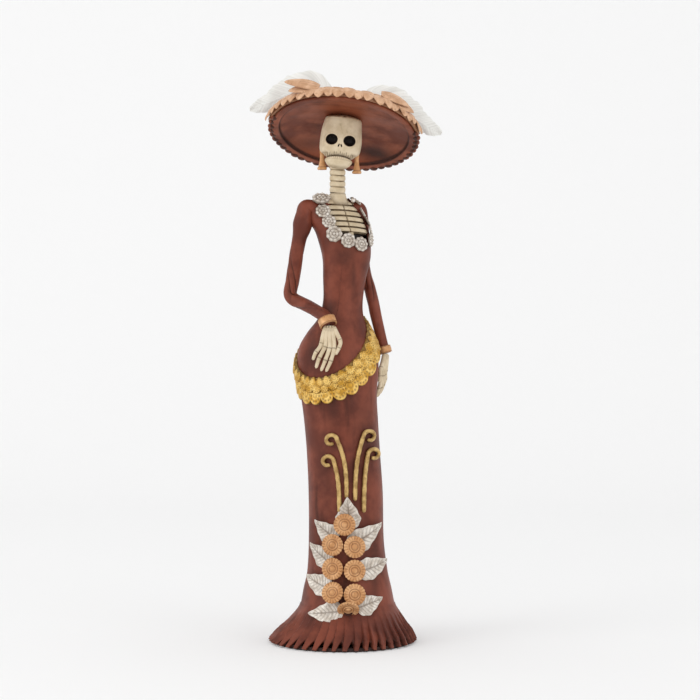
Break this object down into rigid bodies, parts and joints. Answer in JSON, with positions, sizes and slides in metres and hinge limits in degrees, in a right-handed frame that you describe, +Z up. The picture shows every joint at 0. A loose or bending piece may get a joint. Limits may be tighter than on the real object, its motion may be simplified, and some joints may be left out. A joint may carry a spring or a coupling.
{
  "type": "papier-mache catrina figure",
  "caption": "Tall skeleton lady in a long dress and a wide feathered hat, standing on a round pleated hem; the head turns and lifts off, the feathers pull out and the earrings swing.",
  "frame": {"origin": "centre of the round base plate's underside, which stands on the floor", "axes": "+Z up the figure; the skirt's front and the skull face -Y; the figure's right arm is on the -X side"},
  "size_m": [0.1679, 0.1263, 0.4927],
  "materials": {
    "brown_paint": "matte",
    "bone_paint": "matte",
    "copper_paint": "satin",
    "silver_paint": "satin",
    "gold_paint": "satin",
    "bare_wood": "matte",
    "steel_wire": "satin",
    "white_feather": "matte"
  },
  "bodies": {
    "figure": {"skirt": "brown_paint", "bodice": "brown_paint", "hem_ruffle": "brown_paint", "right_sleeve": "brown_paint", "left_sleeve": "brown_paint", "rib_cage": "bone_paint", "collar": "bone_paint", "right_hand": "bone_paint", "left_hand": "bone_paint", "right_bracelet": "copper_paint", "left_bracelet": "copper_paint", "flower_1": "copper_paint", "flower_2": "copper_paint", "flower_3": "copper_paint", "flower_4": "copper_paint", "flower_5": "copper_paint", "flower_6": "copper_paint", "flower_7": "copper_paint", "flower_8": "copper_paint", "leaf_1": "silver_paint", "leaf_2": "silver_paint", "leaf_3": "silver_paint", "leaf_4": "silver_paint", "leaf_5": "silver_paint", "leaf_6": "silver_paint", "leaf_7": "silver_paint", "leaf_8": "silver_paint", "rosette_01": "silver_paint", "rosette_02": "silver_paint", "rosette_03": "silver_paint", "rosette_04": "silver_paint", "rosette_05": "silver_paint", "rosette_06": "silver_paint", "rosette_07": "silver_paint", "rosette_08": "silver_paint", "rosette_09": "silver_paint", "rosette_10": "silver_paint", "rosette_11": "silver_paint", "belt": "gold_paint", "tendril_1": "gold_paint", "tendril_2": "gold_paint", "tendril_3": "gold_paint", "tendril_4": "gold_paint", "base_plate": "bare_wood", "support_rod": "bare_wood", "arm_wire": "steel_wire"},
    "neck_dowel": {"neck_dowel": "bare_wood"},
    "head": {"neck_column": "bone_paint", "skull": "bone_paint", "jaw": "bone_paint", "hat_brim": "brown_paint", "hat_crown": "brown_paint", "hat_edging": "brown_paint", "hat_garland": "copper_paint", "right_ear_hook": "copper_paint", "left_ear_hook": "copper_paint"},
    "right_plume": {"right_plume": "white_feather"},
    "left_plume": {"left_plume": "white_feather"},
    "right_earring": {"right_earring": "copper_paint"},
    "left_earring": {"left_earring": "copper_paint"}
  },
  "joints": [
    {"name": "head_lift", "type": "slide", "parent": "figure", "child": "neck_dowel", "axis": [0, 0, 1], "range_m": [0, 0.04]},
    {"name": "head_turn", "type": "hinge", "parent": "neck_dowel", "child": "head", "pos_m": [-0.0047, 0.001, 0.385], "axis": [0, 0, 1], "continuous": true},
    {"name": "right_plume_pull", "type": "slide", "parent": "head", "child": "right_plume", "axis": [-0.3487, 0.2001, 0.9156], "range_m": [0, 0.02]},
    {"name": "left_plume_pull", "type": "slide", "parent": "head", "child": "left_plume", "axis": [0.5457, 0.2001, 0.8137], "range_m": [0, 0.02]},
    {"name": "right_earring_swing", "type": "hinge", "parent": "head", "child": "right_earring", "pos_m": [-0.01799, 0, 0.42086], "axis": [0, 1, 0], "range_deg": [-8, 45]},
    {"name": "left_earring_swing", "type": "hinge", "parent": "head", "child": "left_earring", "pos_m": [0.01182, 0, 0.41746], "axis": [0, -1, 0], "range_deg": [-8, 45]}
  ]
}
